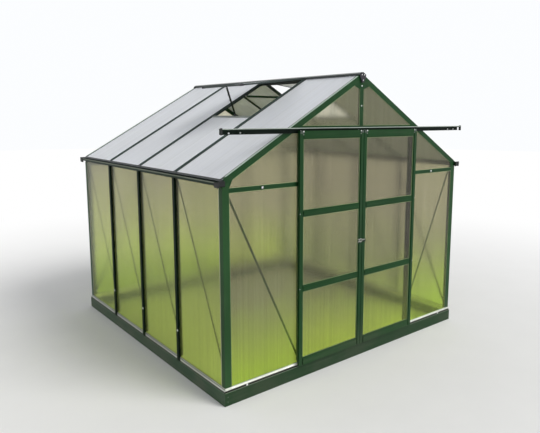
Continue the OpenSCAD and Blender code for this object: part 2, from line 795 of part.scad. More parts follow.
// Rollers run on the track's ledge, on pins from the back of the top rail
module door_rollers(s) {
    pin_r = 3;
    side(s) for (x = [door_x0 + roller_in, door_x1 - roller_in])
        translate([x, door_y + seat, track_z + skin + roller_r + seat]) rotate([-90, 0, 0]) {
            cylinder(r = pin_r, h = door_clear + roller_t);
            translate([0, 0, door_clear - seat]) cylinder(r = roller_r, h = roller_t);
        }
}
module door_latch(s) {
    side(s) translate([door_x0 + 4, door_y - door_t - seat - 6, latch_z - latch_h / 2]) cube([latch_w, 6, latch_h]);
}
module left_door_stiles() {
    color("darkgreen") door_stiles(-1);
}
module left_door_rails() {
    color("darkgreen") door_rails(-1);
}
module left_door_panes() {
    color("beige") door_panes(-1);
}
module left_door_rollers() {
    color("silver") door_rollers(-1);
}
module left_door_latch() {
    color("silver") door_latch(-1);
}
module right_door_stiles() {
    color("darkgreen") door_stiles(1);
}
module right_door_rails() {
    color("darkgreen") door_rails(1);
}
module right_door_panes() {
    color("beige") door_panes(1);
}
module right_door_rollers() {
    color("silver") door_rollers(1);
}
module right_door_latch() {
    color("silver") door_latch(1);
}

plinth_ends();
plinth_sides();
front_sill();
back_sill();
side_sills();
corner_posts();
left_wall_posts();
right_wall_posts();
left_gutter();
right_gutter();
gutter_ends();
ridge_bar();
ridge_caps();
front_rafters();
back_rafters();
left_roof_bars();
right_roof_bars();
collar_tie();
door_jambs();
door_header();
front_centre_post();
back_posts();
gable_rails();
wall_braces();
gable_braces();
door_track();
left_wall_panes();
right_wall_panes();
front_panes();
back_panes();
left_roof_panes();
right_roof_panes();
left_vent_frame();
right_vent_frame();
vent_panes();
vent_sills();
vent_stays();
left_door_stiles();
left_door_rails();
left_door_panes();
left_door_rollers();
left_door_latch();
right_door_stiles();
right_door_rails();
right_door_panes();
right_door_rollers();
right_door_latch();
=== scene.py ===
import math

import bpy
import numpy as np
from mathutils import Matrix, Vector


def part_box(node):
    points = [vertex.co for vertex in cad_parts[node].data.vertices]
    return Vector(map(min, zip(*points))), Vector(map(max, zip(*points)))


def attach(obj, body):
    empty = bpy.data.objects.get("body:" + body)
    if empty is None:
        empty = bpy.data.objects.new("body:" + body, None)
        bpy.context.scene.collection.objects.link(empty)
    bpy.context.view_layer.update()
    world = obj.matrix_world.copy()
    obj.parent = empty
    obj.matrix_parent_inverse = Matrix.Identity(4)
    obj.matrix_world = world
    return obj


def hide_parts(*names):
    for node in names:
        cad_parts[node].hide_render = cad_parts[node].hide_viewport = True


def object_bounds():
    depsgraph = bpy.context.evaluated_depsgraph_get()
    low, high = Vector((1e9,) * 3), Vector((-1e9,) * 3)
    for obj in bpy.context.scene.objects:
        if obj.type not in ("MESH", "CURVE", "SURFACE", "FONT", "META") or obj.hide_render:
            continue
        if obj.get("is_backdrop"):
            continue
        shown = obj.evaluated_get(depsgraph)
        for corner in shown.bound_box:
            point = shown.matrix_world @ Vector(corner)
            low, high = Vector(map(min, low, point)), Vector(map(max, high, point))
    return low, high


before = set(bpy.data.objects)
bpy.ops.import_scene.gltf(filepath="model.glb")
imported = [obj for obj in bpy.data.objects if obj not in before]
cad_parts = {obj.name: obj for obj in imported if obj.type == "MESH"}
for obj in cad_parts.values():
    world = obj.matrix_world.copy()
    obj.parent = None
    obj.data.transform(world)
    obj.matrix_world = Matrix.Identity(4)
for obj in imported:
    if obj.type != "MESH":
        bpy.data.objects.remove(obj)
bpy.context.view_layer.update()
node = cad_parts

# ---- Studio: pale floor, white surroundings, a broad soft lamp and the camera -------------------
# The floor is one large plain sheet. Away from the object it fades to the white of the
# surroundings, so only the shadow near the object shows.


def srgb(red, green, blue):
    """A screen colour of 0 to 255 as the linear colour that the shaders take."""
    c = np.array([red, green, blue]) / 255
    linear = np.where(c <= 0.04045, c / 12.92, ((c + 0.055) / 1.055) ** 2.4)
    return (*linear.tolist(), 1.0)


def new_material(name):
    """An empty material, with its node tree and its Principled shader."""
    material = bpy.data.materials.new(name)
    material.use_nodes = True
    tree = material.node_tree
    return material, tree, tree.nodes["Principled BSDF"]


def feed(tree, socket, value):
    """Gives an input a plain value, or links it to the socket that the value comes from."""
    if isinstance(value, bpy.types.NodeSocket):
        tree.links.new(value, socket)
    else:
        socket.default_value = value


def add(tree, kind, links=(), **values):
    """Adds a node, sets its fields and inputs by name, and feeds (input, value) pairs into it."""
    made = tree.nodes.new(kind)
    for key, value in values.items():
        if hasattr(made, key):
            setattr(made, key, value)
        else:
            made.inputs[key.replace("_", " ")].default_value = value
    for place, value in links:
        feed(tree, made.inputs[place], value)
    return made


def calc(tree, operation, *values, clamp=False):
    """One sum on values that are each a socket or a number."""
    return add(tree, "ShaderNodeMath", enumerate(values), operation=operation, use_clamp=clamp).outputs[0]


def ramp(tree, value, low, high, to_low, to_high):
    """A value moved smoothly from one range to another."""
    made = add(tree, "ShaderNodeMapRange", [("Value", value)], interpolation_type="SMOOTHSTEP",
               From_Min=low, From_Max=high, To_Min=to_low, To_Max=to_high)
    return made.outputs["Result"]


def seen_by_eye(tree):
    """1 for camera, mirror and see-through rays, 0 for the rays that light the object."""
    path = add(tree, "ShaderNodeLightPath").outputs
    seen = calc(tree, "MAXIMUM", path["Is Camera Ray"], path["Is Glossy Ray"])
    return calc(tree, "MAXIMUM", seen, path["Is Transmission Ray"])


def stand(name, data):
    """A mesh, lamp or camera as an object in the scene."""
    made = bpy.data.objects.new(name, data)
    bpy.context.collection.objects.link(made)
    return made


def bands(first, size):
    """Quads from each ring of points to the ring after it; first is the number of a ring's first
    point and size the number of points in it."""
    col = np.arange(size)
    a, b = first + col, first + (col + 1) % size
    return np.stack([a, b, b + size, a + size], -1)


around = np.linspace(0, 2 * np.pi, 64, endpoint=False)
floor_rings, floor_z = np.array([2.0, 6.0, 14.0, 30.0]), -0.0005
floor_xy = floor_rings[:, None, None] * np.stack([np.cos(around), np.sin(around)], -1)
floor_points = np.concatenate([floor_xy, np.full((*floor_xy.shape[:2], 1), floor_z)], -1).reshape(-1, 3)
floor_mesh = bpy.data.meshes.new("floor")
ring_starts = len(around) * np.arange(len(floor_rings) - 1)[:, None]
floor_faces = bands(ring_starts, len(around))[..., ::-1].reshape(-1, 4).tolist()
floor_mesh.from_pydata(floor_points.tolist(), [], [list(range(len(around))), *floor_faces])
stand("floor", floor_mesh)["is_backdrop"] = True
floor_material, tree, shader = new_material("pale_floor")
place = add(tree, "ShaderNodeTexCoord").outputs["Object"]
speckle = add(tree, "ShaderNodeTexNoise", [("Vector", place)], Scale=3.0, Detail=4.0)
tone = add(tree, "ShaderNodeMapRange", [("Value", speckle.outputs["Fac"])], To_Min=0.80, To_Max=0.84)
tree.links.new(tone.outputs["Result"], shader.inputs["Base Color"])
shader.inputs["Roughness"].default_value = 0.75
glow = add(tree, "ShaderNodeEmission", Strength=1.0)
distance = add(tree, "ShaderNodeVectorMath", [(0, place)], operation="LENGTH")
fade = ramp(tree, distance.outputs["Value"], 2.0, 7.0, 0.0, 1.0)
share = calc(tree, "MULTIPLY", fade, seen_by_eye(tree))
blend = add(tree, "ShaderNodeMixShader", [(0, share), (1, shader.outputs[0]), (2, glow.outputs[0])])
tree.links.new(blend.outputs[0], tree.nodes["Material Output"].inputs["Surface"])
floor_mesh.materials.append(floor_material)

world = bpy.data.worlds.new("white_studio")
bpy.context.scene.world = world
world.use_nodes = True
tree = world.node_tree
back = tree.nodes["Background"].inputs
feed(tree, back["Color"], (0.97, 0.985, 1.0, 1))
strength = add(tree, "ShaderNodeMapRange", [("Value", seen_by_eye(tree))], To_Min=0.52, To_Max=1.0)
feed(tree, back["Strength"], strength.outputs["Result"])

lamp = bpy.data.lights.new("soft_lamp", "SUN")
lamp.energy = 2.1
lamp.angle = math.radians(30)
lamp.color = (1.0, 0.985, 0.95)
stand("soft_lamp", lamp).rotation_euler = (math.radians(48), 0, math.radians(28))

eye = np.array([-3.110, -4.2249, 1.9522])
turn, nod, tip = 0.6981, -0.1455, 0.0046
ahead = np.array([math.sin(turn) * math.cos(nod), math.cos(turn) * math.cos(nod), math.sin(nod)])
level = np.array([math.cos(turn), -math.sin(turn), 0.0])
upright = np.cross(level, ahead)
across = level * math.cos(tip) + upright * math.sin(tip)
over = -level * math.sin(tip) + upright * math.cos(tip)
camera = bpy.data.cameras.new("camera")
camera.lens = 36.09
camera.shift_x = -0.0528
camera.shift_y = -0.0378
camera.clip_end = 100.0
camera_object = stand("camera", camera)
axes = np.column_stack([across, over, -ahead, eye])
camera_object.matrix_world = Matrix([*axes.tolist(), [0, 0, 0, 1]])
bpy.context.scene.camera = camera_object
bpy.context.scene.view_settings.view_transform = "Standard"

# ---- Base: folded steel channel on the ground, coated green -------------------------------------
# Two ends and two sides, mitred and screwed together at the corners. The coating is slightly
# dusty near the ground, where rain splashes it.


def group(name, inputs):
    """A shader node group that puts out a colour, a roughness and a height. An input whose usual
    value has four parts is a colour, one of three is a vector, and a single one is a number."""
    tree = bpy.data.node_groups.new(name, "ShaderNodeTree")
    kinds = {4: "NodeSocketColor", 3: "NodeSocketVector", 1: "NodeSocketFloat"}
    for title, value in inputs.items():
        socket = tree.interface.new_socket(title, in_out="INPUT", socket_type=kinds[np.size(value)])
        socket.default_value = value
    for title, parts in (("Color", 4), ("Roughness", 1), ("Height", 1)):
        tree.interface.new_socket(title, in_out="OUTPUT", socket_type=kinds[parts])
    return tree, tree.nodes.new("NodeGroupInput").outputs, tree.nodes.new("NodeGroupOutput").inputs


def mix_colour(tree, factor, first, second):
    """The first colour, turned to the second by a factor; each is a socket or a plain colour."""
    return add(tree, "ShaderNodeMix", [(0, factor), (6, first), (7, second)], data_type="RGBA").outputs[2]


def noise(tree, place, scale, detail, roughness=0.5):
    """Cloudy noise from 0 to 1."""
    return add(tree, "ShaderNodeTexNoise", [("Vector", place)], Scale=scale, Detail=detail,
               Roughness=roughness).outputs["Fac"]


def vertical(tree, vector):
    """The Z part of a vector."""
    return add(tree, "ShaderNodeSeparateXYZ", [(0, vector)]).outputs["Z"]


weathered_and_sky_lit, given, result = group("weathered_coating_sky_highlight", {
    "Color": (0.03, 0.09, 0.045, 1), "Dust And Sky Highlight": (0.35, 0.33, 0.27, 1), "Dustiness": 0.3, "Roughness": 0.42,
    "Run": (38, 38, 2.5), "Sky Highlight": 0.0})
tree = weathered_and_sky_lit
place = add(tree, "ShaderNodeTexCoord").outputs["Object"]
drawn = add(tree, "ShaderNodeVectorMath", [(0, place), (1, given["Run"])], operation="MULTIPLY").outputs[0]
cloud = noise(tree, place, 2.6, 5.0, 0.6)
streak, lines = noise(tree, drawn, 1.0, 4.0), noise(tree, drawn, 11.0, 1.0)
peel = noise(tree, place, 520.0, 2.0)
upward = ramp(tree, vertical(tree, add(tree, "ShaderNodeNewGeometry").outputs["Normal"]), 0.45, 0.9, 0.0, 1.0)
near_ground = ramp(tree, vertical(tree, place), 0.0, 0.42, 1.0, 0.0)
splash = calc(tree, "MULTIPLY", near_ground, ramp(tree, cloud, 0.35, 0.7, 0.25, 1.0))
film = calc(tree, "ADD", ramp(tree, streak, 0.45, 0.75, 0.0, 0.35), splash)
filmed = calc(tree, "MULTIPLY", film, given["Dustiness"])
# Upward faces turn to the dust colour by the Sky amount: a painted sky highlight on their tops
painted_sky_highlight = calc(tree, "MULTIPLY", upward, calc(tree, "MULTIPLY_ADD", streak, 0.5, 0.75))
amount = calc(tree, "MULTIPLY_ADD", painted_sky_highlight, given["Sky Highlight"], filmed, clamp=True)
deep = mix_colour(tree, ramp(tree, cloud, 0.3, 0.7, 0.0, 0.22), given["Color"], (0.0, 0.0, 0.0, 1))
feed(tree, result["Color"], mix_colour(tree, amount, deep, given["Dust And Sky Highlight"]))
feed(tree, result["Roughness"], calc(tree, "MULTIPLY_ADD", amount, 0.5, given["Roughness"]))
feed(tree, result["Height"], calc(tree, "MULTIPLY_ADD", lines, 0.6, peel))
runs_up, runs_across, runs_back = (38, 38, 2.5), (2.5, 38, 38), (38, 2.5, 38)


def surface(name, pattern, values, relief, depth, plain):
    """A material whose colour, roughness and relief come from a node group with the given values;
    plain holds the shader's own values."""
    material, tree, shader = new_material(name)
    made = add(tree, "ShaderNodeGroup", values.items(), node_tree=pattern).outputs
    bump = add(tree, "ShaderNodeBump", [("Height", made["Height"])], Strength=relief, Distance=depth)
    for title, value in {"Base Color": made["Color"], "Roughness": made["Roughness"],
                         "Normal": bump.outputs[0], **plain}.items():
        feed(tree, shader.inputs[title], value)
    return material


def coated(name, colour, roughness=0.42, dustiness=0.3, grain=0.25, metal=0.0, dust_and_sky_highlight=(0.35, 0.33, 0.27, 1),
           run=runs_up, sky_highlight=0.0, gloss=0.3):
    """A coated or moulded surface: its screen colour with clouds, streaks and dust, a painted sky
    highlight on its upward faces by the sky amount, and the fine skin of its coating. Its streaks and
    drawing lines follow the run of the section."""
    values = {"Color": srgb(*colour), "Dust And Sky Highlight": dust_and_sky_highlight, "Dustiness": dustiness, "Roughness": roughness,
              "Run": run, "Sky Highlight": sky_highlight}
    return surface(name, weathered_and_sky_lit, values, grain, 0.0006, {"Metallic": metal, "Specular IOR Level": gloss})


def finish_with(material, *names):
    """Gives CAD nodes their finish."""
    for name in names:
        node[name].data.materials.clear()
        node[name].data.materials.append(material)


base_green = coated("base_green", (30, 70, 40), roughness=0.45, dustiness=0.22, run=runs_back)
finish_with(base_green, "plinth_sides")
finish_with(coated("base_green_across", (23, 57, 30), roughness=0.5, dustiness=0.08, run=runs_across,
                   gloss=0.15), "plinth_ends")


def piece(name, points, faces, material, body="frame", smooth=False):
    """A new piece from arrays of points and faces; it rides on a body."""
    mesh = bpy.data.meshes.new(name)
    mesh.from_pydata(np.asarray(points).reshape(-1, 3).tolist(), [], faces)
    mesh.materials.append(material)
    mesh.polygons.foreach_set("use_smooth", np.full(len(mesh.polygons), smooth))
    mesh.update()
    made = stand(name, mesh)
    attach(made, body)
    return made


def unit(vectors):
    """Vectors made one long."""
    return vectors / np.linalg.norm(vectors, axis=1, keepdims=True)


def turned(centres, outward, profile, sides):
    """Turned heads, one at each centre: the profile's (radius, height) points go round the outward
    direction, point = centre + radius (cos a, sin a) in the seat's plane + height along outward."""
    centres = np.atleast_2d(centres)
    outward = unit(np.broadcast_to(outward, centres.shape))
    helper = np.where(np.abs(outward[:, 2:]) < 0.9, [0, 0, 1], [1, 0, 0])
    u = unit(np.cross(helper, outward))
    v = np.cross(outward, u)
    angle = np.linspace(0, 2 * np.pi, sides, endpoint=False)
    profile = np.asarray(profile)
    circle = np.cos(angle)[:, None, None] * u + np.sin(angle)[:, None, None] * v
    rings = centres + profile[:, 0, None, None, None] * circle + profile[:, 1, None, None, None] * outward
    count, rows = len(centres), len(profile)
    points = rings.transpose(2, 0, 1, 3)
    head = np.arange(count)[:, None, None] * rows * sides
    faces = bands(head + np.arange(rows - 1)[:, None] * sides, sides).reshape(-1, 4).tolist()
    whole = np.arange(count)[:, None] * rows * sides + np.arange(sides)
    faces += whole[:, ::-1].tolist()
    faces += (whole + (rows - 1) * sides).tolist()
    return points, faces


def head_profile(radius, tall, washer=0.0):
    """Profile of a button head: a washer where there is one, a short rim, then an arc up to a small
    flat crown, radius cos t and height tall (0.25 + 0.75 sin t)."""
    rise = np.linspace(0, np.pi / 2 * 0.93, 6)
    lift = 0.0012 if washer else 0.0
    head = np.column_stack([np.concatenate([[radius], radius * np.cos(rise)]),
                            lift + np.concatenate([[0], tall * (0.25 + 0.75 * np.sin(rise))])])
    return np.vstack([[[washer, 0.0], [washer, lift]], head]) if washer else head


def fasteners(name, centres, outward, profile, sides=12, body="frame", material=None, slot="zinc"):
    """Heads, nuts or other turned bits of one kind as one piece."""
    points, faces = turned(centres, outward, profile, sides)
    return piece(name, points, faces, material or zinc, body, smooth=sides > 6)


zinc = coated("zinc", (240, 242, 242), roughness=0.32, dustiness=0.06, grain=0.3, metal=0.6,
              dust_and_sky_highlight=(0.55, 0.54, 0.52, 1), gloss=0.5)
signs = np.array([-1.0, 1.0])


def by_corners(half_x, half_y, out, along, heights):
    """Points on both faces beside each corner of an oblong, half_x by half_y about the middle: out is
    the distance out of the face and along the distance past the corner. Also their outward directions."""
    sx, sy, z = (grid.ravel() for grid in np.meshgrid(signs, signs, heights))
    flat = np.zeros_like(sx)
    points = [np.column_stack([sx * (half_x + out), sy * (half_y + along), z]),
              np.column_stack([sx * (half_x + along), sy * (half_y + out), z])]
    outward = [np.column_stack([sx, flat, flat]), np.column_stack([flat, sy, flat])]
    return np.vstack(points), np.vstack(outward)


base_x, _, base_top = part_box("plinth_sides")[1]
base_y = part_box("plinth_ends")[1][1]
screw_in, screw_heights = 0.024, [0.028, 0.064]
fasteners("base_corner_screws", *by_corners(base_x, base_y, 0.0, -screw_in, screw_heights),
          head_profile(0.0055, 0.0032), material=base_green)

# ---- Sills: pale aluminium sections on the base, under the panes --------------------------------
# A front wall with a raised band and edge, a dark seal, a thin pale strip on the base's top edge as a
# painted highlight, a grey bead in the side sills' groove, and a moulded corner screwed over each mitre.
finish_with(coated("sill_white", (250, 252, 246), roughness=0.32, dustiness=0.06, metal=0.8,
                   dust_and_sky_highlight=(0.5, 0.54, 0.42, 1), run=runs_across, gloss=0.5),
            "front_sill", "back_sill", "side_sills")


def swept(section, starts, ends, sideways):
    """Straight runs of one section: each section point (a, b) is carried from a start to an end,
    point = start or end + a sideways + b (direction x sideways). Each run has its two end faces."""
    starts, ends = np.atleast_2d(starts), np.atleast_2d(ends)
    way, side = unit(ends - starts), np.broadcast_to(sideways, starts.shape)
    side = unit(side - np.sum(side * way, 1, keepdims=True) * way)
    up = np.cross(way, side)
    section = np.asarray(section)
    count, size = len(starts), len(section)
    offset = section[None, :, :1] * side[:, None, :] + section[None, :, 1:] * up[:, None, :]
    points = np.stack([starts[:, None, :] + offset, ends[:, None, :] + offset], 1)
    first = np.arange(count)[:, None] * 2 * size
    col = np.arange(size)
    faces = bands(first, size).reshape(-1, 4).tolist()
    faces += (first + col[::-1]).tolist() + (first + size + col).tolist()
    return points, faces


def box_section(wide, tall, round_off):
    """A rectangle about its centre, with its corners rounded by arcs of three points."""
    corner = np.array([[1, -1], [1, 1], [-1, 1], [-1, -1]]) * (np.array([wide, tall]) / 2 - round_off)
    start = np.radians([-90, 0, 90, 180])
    arc = start[:, None] + np.radians([0, 45, 90])
    return (corner[:, None, :] + round_off * np.stack([np.cos(arc), np.sin(arc)], -1)).reshape(-1, 2)


def strips(name, section, starts, ends, sideways, material, slot="moulding", body="frame"):
    """Runs of one section as one piece."""
    points, faces = swept(section, starts, ends, sideways)
    return piece(name, points, faces, material, body)


rubber = coated("black_rubber", (20, 24, 22), roughness=0.7, dustiness=0.12, grain=0.5, gloss=0.15)
frame_x, frame_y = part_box("corner_posts")[1][:2]
sill_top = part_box("front_sill")[1][2]
bar_face = 0.030
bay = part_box("left_wall_posts")[1][1] - bar_face / 2
bar_ys = bay * np.array([-1.0, 0.0, 1.0])
between_bars = np.concatenate([[-frame_y], np.repeat(bar_ys, 2) + np.tile([-bar_face / 2, bar_face / 2], 3),
                               [frame_y]]).reshape(4, 2)


def level_ends(runs, height):
    """Run ends (x, y) in pairs, as arrays of start and end points at one height."""
    runs = np.asarray(runs)
    return [np.column_stack([runs[:, i], np.full(len(runs), height)]) for i in (0, 1)]


def gable_runs(out, height):
    """Ends of a run along each gable, from corner to corner, a distance out from the frame."""
    x, y = frame_x + out, frame_y + out
    return level_ends([[(-x, s * y), (x, s * y)] for s in signs], height)


def wall_runs(out, height):
    """Ends of the runs along both side walls, broken at the bars, a distance out from the frame."""
    x = frame_x + out
    return level_ends([[(s * x, y0), (s * x, y1)] for s in signs for y0, y1 in between_bars], height)


seal_out, band_middle = 0.0046, base_top + 0.0076
strips("gable_sill_seals", box_section(0.0125, 0.0028, 0.0008), *gable_runs(seal_out, band_middle),
       (0, 0, 1), rubber)
strips("wall_sill_seals", box_section(0.0056, 0.0028, 0.0008), *wall_runs(seal_out, base_top + 0.0030),
       (0, 0, 1), rubber)
bead_grey = coated("bead_grey", (78, 84, 74), roughness=0.6, dustiness=0.2, run=runs_back, gloss=0.2)
strips("wall_sill_beads", box_section(0.0062, 0.0020, 0.0006), *wall_runs(0.0011, sill_top - 0.0085),
       (0, 0, 1), bead_grey)
# The thin pale strip along the base's top edge is a painted highlight
base_edge_highlight = coated("base_edge_highlight", (120, 138, 118), roughness=0.4, dust_and_sky_highlight=(0.25, 0.30, 0.2, 1), run=runs_across)
edge_highlight_out, edge_highlight_z = 0.0091, base_top + 0.0012
edge_highlight_ends = [np.vstack(pair) for pair in zip(gable_runs(edge_highlight_out, edge_highlight_z), wall_runs(edge_highlight_out, edge_highlight_z))]
strips("base_edge_highlight_strips", box_section(0.0036, 0.0014, 0.0004), *edge_highlight_ends, (0, 0, 1), base_edge_highlight, "sill")

plate_long, plate_thick, screw_at = 0.052, 0.0015, 0.038
plate_z, plate_tall = (base_top + 0.0035 + sill_top) / 2, sill_top - base_top - 0.006
starts, ends = (by_corners(frame_x, frame_y, plate_thick / 2, along, [plate_z])[0]
                for along in (plate_thick, -plate_long))
sill_corner = coated("sill_corner", (236, 240, 230), roughness=0.45, dustiness=0.15,
                     dust_and_sky_highlight=(0.36, 0.40, 0.28, 1))
strips("sill_corner_plates", box_section(plate_tall, plate_thick, 0.0004), starts, ends, (0, 0, 1),
       sill_corner, "sill")
fasteners("sill_corner_screws", *by_corners(frame_x, frame_y, plate_thick, -screw_at, [plate_z]),
          head_profile(0.0035, 0.0018))

# ---- Posts, rails and rafters: extruded aluminium, powder coated green --------------------------
# Glazing bars with a bolt foot inside. The streaks of the extrusion run along each bar. They are
# bolted at every crossing, and small gussets stiffen the eave corners and the apex.
green = (22, 62, 29)
frame_green = coated("frame_green", green, dustiness=0.08, gloss=0.16)
runs_sloping = (20, 38, 20)
finish_with(coated("corner_green", (38, 75, 40), roughness=0.45, dustiness=0.06, gloss=0.14), "corner_posts")
finish_with(frame_green, "door_jambs", "front_centre_post", "back_posts")
finish_with(coated("brace_green", (36, 84, 40), roughness=0.45, dustiness=0.08, gloss=0.12), "gable_braces")
# The side walls' bars and braces take a darker green than the frame: painted shade
finish_with(coated("wall_green_painted_shade", (10, 30, 17), roughness=0.5, dustiness=0.04, gloss=0.08),
            "left_wall_posts", "right_wall_posts", "wall_braces")
finish_with(coated("rail_green", green, dustiness=0.08, gloss=0.16, run=runs_across),
            "door_header", "gable_rails", "collar_tie")
finish_with(coated("rafter_green", (26, 66, 32), dustiness=0.08, gloss=0.16, run=runs_sloping),
            "front_rafters", "back_rafters")

pitch = math.radians(30)
gable_face, corner_face, rafter_face = 0.040, 0.052, 0.042
jamb_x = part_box("door_jambs")[1][0] - gable_face / 2
rail_z = (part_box("gable_rails")[0][2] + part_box("gable_rails")[1][2]) / 2
cover_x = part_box("right_wall_posts")[1][0]
ridge_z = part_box("front_rafters")[1][2]


def roof_height(x, deeper=0.0):
    """Height at x of the roof's outer face, or of the plane that lies deeper, square to the slope."""
    return ridge_z - np.abs(x) * math.tan(pitch) - deeper / math.cos(pitch)


def across_plane(u, z, plane, axis):
    """Points (u, z) stood up in the plane at a distance along X (axis 0) or Y (axis 1)."""
    u, z, plane = np.broadcast_arrays(u, z, float(plane))
    return np.stack([plane, u, z] if axis == 0 else [u, plane, z], -1)


def gable_heads(name, u, z, y, profile, s=-1.0, **kind):
    """Turned bits at points (u, z) of a gable's plane y, facing out of the front (s = -1) or the back."""
    return fasteners(name, across_plane(u, z, y, 1), (0, s, 0), profile, **kind)


screw_y, screw_z = bar_ys - 0.008, 0.340
places = np.vstack([across_plane(screw_y, screw_z, s * cover_x, 0) for s in signs])
fasteners("wall_cover_screws", places, np.repeat([[-1, 0, 0], [1, 0, 0]], 3, axis=0),
          head_profile(0.0085, 0.0046))

rail_bolt_x, rail_bolt = np.array([-0.956, 0.916]), head_profile(0.0078, 0.005, washer=0.0105)
sill_bolt_x, sill_bolt = np.array([-1.1000, 1.1000]), head_profile(0.0085, 0.0036)
both_gables, sill_band_y = (("front", -1.0), ("back", 1.0)), frame_y + 0.0058
for name, s in both_gables:
    gable_heads(name + "_rail_bolts", -s * rail_bolt_x, rail_z, s * frame_y, rail_bolt, s)
gable_heads("rail_bolt_seats", rail_bolt_x, rail_z, -frame_y,
            [[0.0135, 0.0], [0.0135, 0.0010], [0.0100, 0.0012]], sides=20, material=rubber, slot="moulding")
centre_bolt_z = [2.039, 2.19]
gable_heads("centre_post_bolts", [0.0, 0.0], centre_bolt_z, -frame_y, head_profile(0.0058, 0.004))
for name, s in both_gables:
    gable_heads(name + "_sill_bolts", sill_bolt_x, band_middle, s * sill_band_y, sill_bolt, s)

# Nuts on the feet of the bars, where the braces and rails are held: six flats with a chamfer, and
# the thin end of the bolt
foot_x, foot_y = -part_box("wall_braces")[0][0] - 0.002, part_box("gable_braces")[1][1] - 0.002
brace_low, brace_high = (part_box("wall_braces")[i][2] + inset for i, inset in ((0, 0.008), (1, -0.008)))
ends_y = np.concatenate([[-frame_y + 0.030], bar_ys, [frame_y - 0.030]])
nut_size = [0.0065, 0.005]
brace_nut = np.array([[1, 0], [1, 0.85], [0.88, 1], [0.5, 1], [0.5, 1.5], [0.42, 1.6]]) * nut_size
places = [across_plane(y, z, s * foot_x, 0)
          for s in signs for y, z in ((ends_y[:-1], brace_low), (ends_y[1:], brace_high))]
outward = np.repeat([[1, 0, 0], [-1, 0, 0]], 8, axis=0)
fasteners("wall_brace_nuts", np.vstack(places), outward, brace_nut, sides=6)
last_x = frame_x - corner_face + 0.010
places = [across_plane([-x, x], z, s * foot_y, 1)
          for s, heights in ((-1.0, (brace_high, brace_low)), (1.0, (brace_low, brace_high)))
          for x, z in zip((last_x, jamb_x), heights)]
outward = np.repeat([[0, 1, 0], [0, -1, 0]], 4, axis=0)
fasteners("gable_brace_nuts", np.vstack(places), outward, brace_nut, sides=6)


def plates(name, outlines, plane, thick, axis, material, body="frame"):
    """Flat plates from outlines of points (u, z), as many in each: a front ring, a back ring and the
    rim between them, on the plane at a distance along X (axis 0) or Y (axis 1)."""
    u, z = np.moveaxis(np.asarray(outlines), -1, 0)
    count, size = u.shape
    points = np.concatenate([across_plane(u, z, plane + t * thick / 2, axis) for t in signs], 1)
    turn_way = np.sign(np.sum(u * np.roll(z, -1, 1) - np.roll(u, -1, 1) * z, 1))
    first = np.arange(count)[:, None] * 2 * size
    col = np.arange(size)
    rim = bands(first, size)
    front_face, back_face = (first + col)[:, None, :], (first + size + col[::-1])[:, None, :]
    flip = (turn_way < 0) != (axis == 0)
    faces = []
    for turned_round, *kinds in zip(flip, rim, front_face, back_face):
        for kind in kinds:
            faces += (kind[:, ::-1] if turned_round else kind).tolist()
    return piece(name, points, faces, material, body)


def under_rafter(x):
    """Height at x of the underside of a gable rafter's face."""
    return float(roof_height(x, rafter_face))


corner_in_x = frame_x - corner_face
behind, reach, thick = 0.012, 0.026, 0.0016
outer, inner = corner_in_x + behind, corner_in_x - reach
eave_gusset = [(outer, rail_z + behind), (outer, under_rafter(outer) + behind),
               (inner, under_rafter(inner) + behind), (inner, under_rafter(inner) - 0.004),
               (corner_in_x - 0.004, rail_z + 0.018)]
post_edge, apex_foot, apex_reach = gable_face / 2, under_rafter(0.0) - 0.070, 0.078
apex_gusset = [(post_edge - 0.008, apex_foot), (post_edge + 0.004, apex_foot),
               (apex_reach, under_rafter(apex_reach) - 0.004),
               (apex_reach, under_rafter(apex_reach) + behind),
               (post_edge - 0.008, under_rafter(post_edge) + behind)]
gussets = [np.multiply(outline, [t, 1]) for outline in (eave_gusset, apex_gusset) for t in (1, -1)]
for name, s in both_gables:
    plates(name + "_gussets", gussets, s * (frame_y - thick), thick, 1, frame_green)

# ---- Wall and gable panes: twin-wall polycarbonate in the bars' grooves -------------------------
# Clear board of two thin sheets with ribs between them, so it is fluted upright and blurs what is
# far behind it. Low down it is painted green for grass seen through it. A thin seal runs round each pane.
twin_wall, given, result = group("twin_wall_sheet", {
    "Color": (0.7, 0.7, 0.6, 1), "Haze": (0.8, 0.8, 0.75, 1), "Grass Tint Color": (0.5, 0.6, 0.3, 1),
    "Grass Tint Amount": 0.0, "Across": (1, 0, 0), "Along": (0, 0, 1), "Rib Spacing": 0.0105, "Roughness": 0.2,
    "Grass Tint Reach": 1.5, "Flute Contrast": 0.2})
tree = twin_wall
place = add(tree, "ShaderNodeTexCoord").outputs["Object"]
u, v = (add(tree, "ShaderNodeVectorMath", [(0, place), (1, given[way])],
            operation="DOT_PRODUCT").outputs["Value"] for way in ("Across", "Along"))
wave = calc(tree, "PINGPONG", calc(tree, "DIVIDE", calc(tree, "MULTIPLY", u, 2.0), given["Rib Spacing"]), 1.0)
rib = ramp(tree, wave, 0.72, 0.98, 0.0, 1.0)


def tone_of(tree, u, width):
    """A chance tone from 0 to 1 for each band of the given width."""
    band = calc(tree, "FLOOR", calc(tree, "DIVIDE", u, width))
    return add(tree, "ShaderNodeTexWhiteNoise", [("W", band)], noise_dimensions="1D").outputs["Value"]


def lanes(tree, u, v, fine, long):
    """Soft streaks that run the length of the board, fine across it and long along it."""
    x, y = calc(tree, "MULTIPLY", u, fine), calc(tree, "MULTIPLY", v, long)
    return noise(tree, add(tree, "ShaderNodeCombineXYZ", [("X", x), ("Y", y)]).outputs[0], 1.0, 2.0, 0.55)


